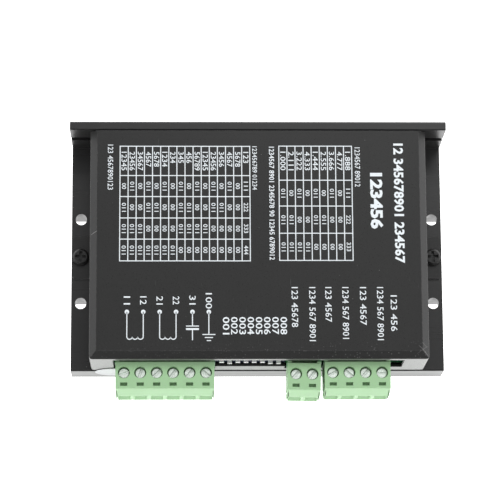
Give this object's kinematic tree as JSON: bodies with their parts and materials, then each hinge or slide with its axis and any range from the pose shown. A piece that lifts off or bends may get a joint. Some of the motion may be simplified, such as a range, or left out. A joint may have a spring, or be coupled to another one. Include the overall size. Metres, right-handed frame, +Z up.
{
  "type": "stepper driver module",
  "caption": "Flat black driver module: finned L-shaped heatsink, bent sheet cover, pluggable green screw terminals, switch bank and indicators along the front.",
  "frame": {"origin": "middle of the heatsink's footprint, on its mounting underside", "axes": "+X along the module, left to right seen from the terminals; +Y from the terminal side to the back wall; +Z up through the cover"},
  "size_m": [0.118, 0.0855, 0.033],
  "materials": {
    "black_anodised": "black anodised extrusion with a fine satin sheen",
    "black_painted_sheet": "black powder coat, satin",
    "black_screws": "black oxide",
    "zinc_screws": "zinc plated",
    "terminal_steel": "nickel plated steel",
    "brass_hardware": "bare brass",
    "tinned_metal": "tin plated brass",
    "green_circuit_board": "green solder mask on glass fibre",
    "black_component": "moulded epoxy",
    "black_plastic": "moulded plastic",
    "silicone_strip": "grey silicone",
    "capacitor_sleeve": "shrink sleeve over an aluminium can",
    "ferrite": "pressed ferrite",
    "green_lens": "tinted clear epoxy",
    "red_lens": "tinted clear epoxy",
    "green_plastic": "moulded polyamide",
    "dark_green_plastic": "moulded polyamide",
    "white_plastic": "moulded plastic",
    "white_label": "thin paper sticker"
  },
  "bodies": {
    "root": {"heatsink": "black_anodised", "top_cover": "black_painted_sheet", "cover_screws": "black_screws", "board_spacers": "brass_hardware", "inner_screws": "zinc_screws", "main_board": "green_circuit_board", "power_transistors": "black_component", "insulating_strip": "silicone_strip", "transistor_clamp": "zinc_screws", "bulk_capacitors": "capacitor_sleeve", "power_inductor": "ferrite", "controller_chip": "black_component", "optocouplers": "black_component", "sense_resistors": "black_component", "power_led": "green_lens", "alarm_led": "red_lens", "dip_body": "black_plastic", "header_6": "dark_green_plastic", "header_2": "dark_green_plastic", "header_4": "dark_green_plastic", "header_pins": "tinned_metal", "seal_label": "white_label"},
    "plug_6": {"plug_6": "green_plastic", "contacts_6": "tinned_metal"},
    "plug_2": {"plug_2": "green_plastic", "contacts_2": "tinned_metal"},
    "plug_4": {"plug_4": "green_plastic", "contacts_4": "tinned_metal"},
    "terminal_screw_1": {"terminal_screw_1": "terminal_steel"},
    "clamp_cage_1": {"clamp_cage_1": "brass_hardware"},
    "terminal_screw_2": {"terminal_screw_2": "terminal_steel"},
    "clamp_cage_2": {"clamp_cage_2": "brass_hardware"},
    "terminal_screw_3": {"terminal_screw_3": "terminal_steel"},
    "clamp_cage_3": {"clamp_cage_3": "brass_hardware"},
    "terminal_screw_4": {"terminal_screw_4": "terminal_steel"},
    "clamp_cage_4": {"clamp_cage_4": "brass_hardware"},
    "terminal_screw_5": {"terminal_screw_5": "terminal_steel"},
    "clamp_cage_5": {"clamp_cage_5": "brass_hardware"},
    "terminal_screw_6": {"terminal_screw_6": "terminal_steel"},
    "clamp_cage_6": {"clamp_cage_6": "brass_hardware"},
    "terminal_screw_7": {"terminal_screw_7": "terminal_steel"},
    "clamp_cage_7": {"clamp_cage_7": "brass_hardware"},
    "terminal_screw_8": {"terminal_screw_8": "terminal_steel"},
    "clamp_cage_8": {"clamp_cage_8": "brass_hardware"},
    "terminal_screw_9": {"terminal_screw_9": "terminal_steel"},
    "clamp_cage_9": {"clamp_cage_9": "brass_hardware"},
    "terminal_screw_10": {"terminal_screw_10": "terminal_steel"},
    "clamp_cage_10": {"clamp_cage_10": "brass_hardware"},
    "terminal_screw_11": {"terminal_screw_11": "terminal_steel"},
    "clamp_cage_11": {"clamp_cage_11": "brass_hardware"},
    "terminal_screw_12": {"terminal_screw_12": "terminal_steel"},
    "clamp_cage_12": {"clamp_cage_12": "brass_hardware"},
    "dip_slider_1": {"dip_slider_1": "white_plastic"},
    "dip_slider_2": {"dip_slider_2": "white_plastic"},
    "dip_slider_3": {"dip_slider_3": "white_plastic"},
    "dip_slider_4": {"dip_slider_4": "white_plastic"},
    "dip_slider_5": {"dip_slider_5": "white_plastic"},
    "dip_slider_6": {"dip_slider_6": "white_plastic"},
    "dip_slider_7": {"dip_slider_7": "white_plastic"},
    "dip_slider_8": {"dip_slider_8": "white_plastic"}
  },
  "joints": [
    {"name": "plug_6_slide", "type": "slide", "parent": "root", "child": "plug_6", "axis": [0, -1, 0], "range_m": [0, 0.0095]},
    {"name": "plug_2_slide", "type": "slide", "parent": "root", "child": "plug_2", "axis": [0, -1, 0], "range_m": [-0.00035, 0.00905]},
    {"name": "plug_4_slide", "type": "slide", "parent": "root", "child": "plug_4", "axis": [0, -1, 0], "range_m": [0, 0.0095]},
    {"name": "terminal_screw_1_turn", "type": "hinge", "parent": "plug_6", "child": "terminal_screw_1", "pos_m": [-0.04185, -0.04105, 0.0265], "axis": [0, 0, 1], "range_deg": [-1440, 0]},
    {"name": "clamp_cage_1_lift", "type": "slide", "parent": "plug_6", "child": "clamp_cage_1", "axis": [0, 0, 1], "range_m": [0, 0.002]},
    {"name": "terminal_screw_2_turn", "type": "hinge", "parent": "plug_6", "child": "terminal_screw_2", "pos_m": [-0.03677, -0.04105, 0.0265], "axis": [0, 0, 1], "range_deg": [-1440, 0]},
    {"name": "clamp_cage_2_lift", "type": "slide", "parent": "plug_6", "child": "clamp_cage_2", "axis": [0, 0, 1], "range_m": [0, 0.002]},
    {"name": "terminal_screw_3_turn", "type": "hinge", "parent": "plug_6", "child": "terminal_screw_3", "pos_m": [-0.03169, -0.04105, 0.0265], "axis": [0, 0, 1], "range_deg": [-1440, 0]},
    {"name": "clamp_cage_3_lift", "type": "slide", "parent": "plug_6", "child": "clamp_cage_3", "axis": [0, 0, 1], "range_m": [0, 0.002]},
    {"name": "terminal_screw_4_turn", "type": "hinge", "parent": "plug_6", "child": "terminal_screw_4", "pos_m": [-0.02661, -0.04105, 0.0265], "axis": [0, 0, 1], "range_deg": [-1440, 0]},
    {"name": "clamp_cage_4_lift", "type": "slide", "parent": "plug_6", "child": "clamp_cage_4", "axis": [0, 0, 1], "range_m": [0, 0.002]},
    {"name": "terminal_screw_5_turn", "type": "hinge", "parent": "plug_6", "child": "terminal_screw_5", "pos_m": [-0.02153, -0.04105, 0.0265], "axis": [0, 0, 1], "range_deg": [-1440, 0]},
    {"name": "clamp_cage_5_lift", "type": "slide", "parent": "plug_6", "child": "clamp_cage_5", "axis": [0, 0, 1], "range_m": [0, 0.002]},
    {"name": "terminal_screw_6_turn", "type": "hinge", "parent": "plug_6", "child": "terminal_screw_6", "pos_m": [-0.01645, -0.04105, 0.0265], "axis": [0, 0, 1], "range_deg": [-1440, 0]},
    {"name": "clamp_cage_6_lift", "type": "slide", "parent": "plug_6", "child": "clamp_cage_6", "axis": [0, 0, 1], "range_m": [0, 0.002]},
    {"name": "terminal_screw_7_turn", "type": "hinge", "parent": "plug_2", "child": "terminal_screw_7", "pos_m": [0.01145, -0.04145, 0.0265], "axis": [0, 0, 1], "range_deg": [-1440, 0]},
    {"name": "clamp_cage_7_lift", "type": "slide", "parent": "plug_2", "child": "clamp_cage_7", "axis": [0, 0, 1], "range_m": [0, 0.002]},
    {"name": "terminal_screw_8_turn", "type": "hinge", "parent": "plug_2", "child": "terminal_screw_8", "pos_m": [0.01653, -0.04155, 0.0265], "axis": [0, 0, 1], "range_deg": [-1440, 0]},
    {"name": "clamp_cage_8_lift", "type": "slide", "parent": "plug_2", "child": "clamp_cage_8", "axis": [0, 0, 1], "range_m": [0, 0.002]},
    {"name": "terminal_screw_9_turn", "type": "hinge", "parent": "plug_4", "child": "terminal_screw_9", "pos_m": [0.02288, -0.04105, 0.0265], "axis": [0, 0, 1], "range_deg": [-1440, 0]},
    {"name": "clamp_cage_9_lift", "type": "slide", "parent": "plug_4", "child": "clamp_cage_9", "axis": [0, 0, 1], "range_m": [0, 0.002]},
    {"name": "terminal_screw_10_turn", "type": "hinge", "parent": "plug_4", "child": "terminal_screw_10", "pos_m": [0.02796, -0.04105, 0.0265], "axis": [0, 0, 1], "range_deg": [-1440, 0]},
    {"name": "clamp_cage_10_lift", "type": "slide", "parent": "plug_4", "child": "clamp_cage_10", "axis": [0, 0, 1], "range_m": [0, 0.002]},
    {"name": "terminal_screw_11_turn", "type": "hinge", "parent": "plug_4", "child": "terminal_screw_11", "pos_m": [0.03304, -0.04105, 0.0265], "axis": [0, 0, 1], "range_deg": [-1440, 0]},
    {"name": "clamp_cage_11_lift", "type": "slide", "parent": "plug_4", "child": "clamp_cage_11", "axis": [0, 0, 1], "range_m": [0, 0.002]},
    {"name": "terminal_screw_12_turn", "type": "hinge", "parent": "plug_4", "child": "terminal_screw_12", "pos_m": [0.03812, -0.04105, 0.0265], "axis": [0, 0, 1], "range_deg": [-1440, 0]},
    {"name": "clamp_cage_12_lift", "type": "slide", "parent": "plug_4", "child": "clamp_cage_12", "axis": [0, 0, 1], "range_m": [0, 0.002]},
    {"name": "dip_slider_1_slide", "type": "slide", "parent": "root", "child": "dip_slider_1", "axis": [0, 0, 1], "range_m": [-0.002, 0]},
    {"name": "dip_slider_2_slide", "type": "slide", "parent": "root", "child": "dip_slider_2", "axis": [0, 0, 1], "range_m": [0, 0.002]},
    {"name": "dip_slider_3_slide", "type": "slide", "parent": "root", "child": "dip_slider_3", "axis": [0, 0, 1], "range_m": [-0.002, 0]},
    {"name": "dip_slider_4_slide", "type": "slide", "parent": "root", "child": "dip_slider_4", "axis": [0, 0, 1], "range_m": [-0.002, 0]},
    {"name": "dip_slider_5_slide", "type": "slide", "parent": "root", "child": "dip_slider_5", "axis": [0, 0, 1], "range_m": [-0.002, 0]},
    {"name": "dip_slider_6_slide", "type": "slide", "parent": "root", "child": "dip_slider_6", "axis": [0, 0, 1], "range_m": [-0.002, 0]},
    {"name": "dip_slider_7_slide", "type": "slide", "parent": "root", "child": "dip_slider_7", "axis": [0, 0, 1], "range_m": [0, 0.002]},
    {"name": "dip_slider_8_slide", "type": "slide", "parent": "root", "child": "dip_slider_8", "axis": [0, 0, 1], "range_m": [0, 0.002]}
  ],
  "couplings": [
    {"joint": "terminal_screw_1_turn", "follows": "clamp_cage_1_lift", "rad_per_m": -12566},
    {"joint": "terminal_screw_2_turn", "follows": "clamp_cage_2_lift", "rad_per_m": -12566},
    {"joint": "terminal_screw_3_turn", "follows": "clamp_cage_3_lift", "rad_per_m": -12566},
    {"joint": "terminal_screw_4_turn", "follows": "clamp_cage_4_lift", "rad_per_m": -12566},
    {"joint": "terminal_screw_5_turn", "follows": "clamp_cage_5_lift", "rad_per_m": -12566},
    {"joint": "terminal_screw_6_turn", "follows": "clamp_cage_6_lift", "rad_per_m": -12566},
    {"joint": "terminal_screw_7_turn", "follows": "clamp_cage_7_lift", "rad_per_m": -12566},
    {"joint": "terminal_screw_8_turn", "follows": "clamp_cage_8_lift", "rad_per_m": -12566},
    {"joint": "terminal_screw_9_turn", "follows": "clamp_cage_9_lift", "rad_per_m": -12566},
    {"joint": "terminal_screw_10_turn", "follows": "clamp_cage_10_lift", "rad_per_m": -12566},
    {"joint": "terminal_screw_11_turn", "follows": "clamp_cage_11_lift", "rad_per_m": -12566},
    {"joint": "terminal_screw_12_turn", "follows": "clamp_cage_12_lift", "rad_per_m": -12566}
  ]
}
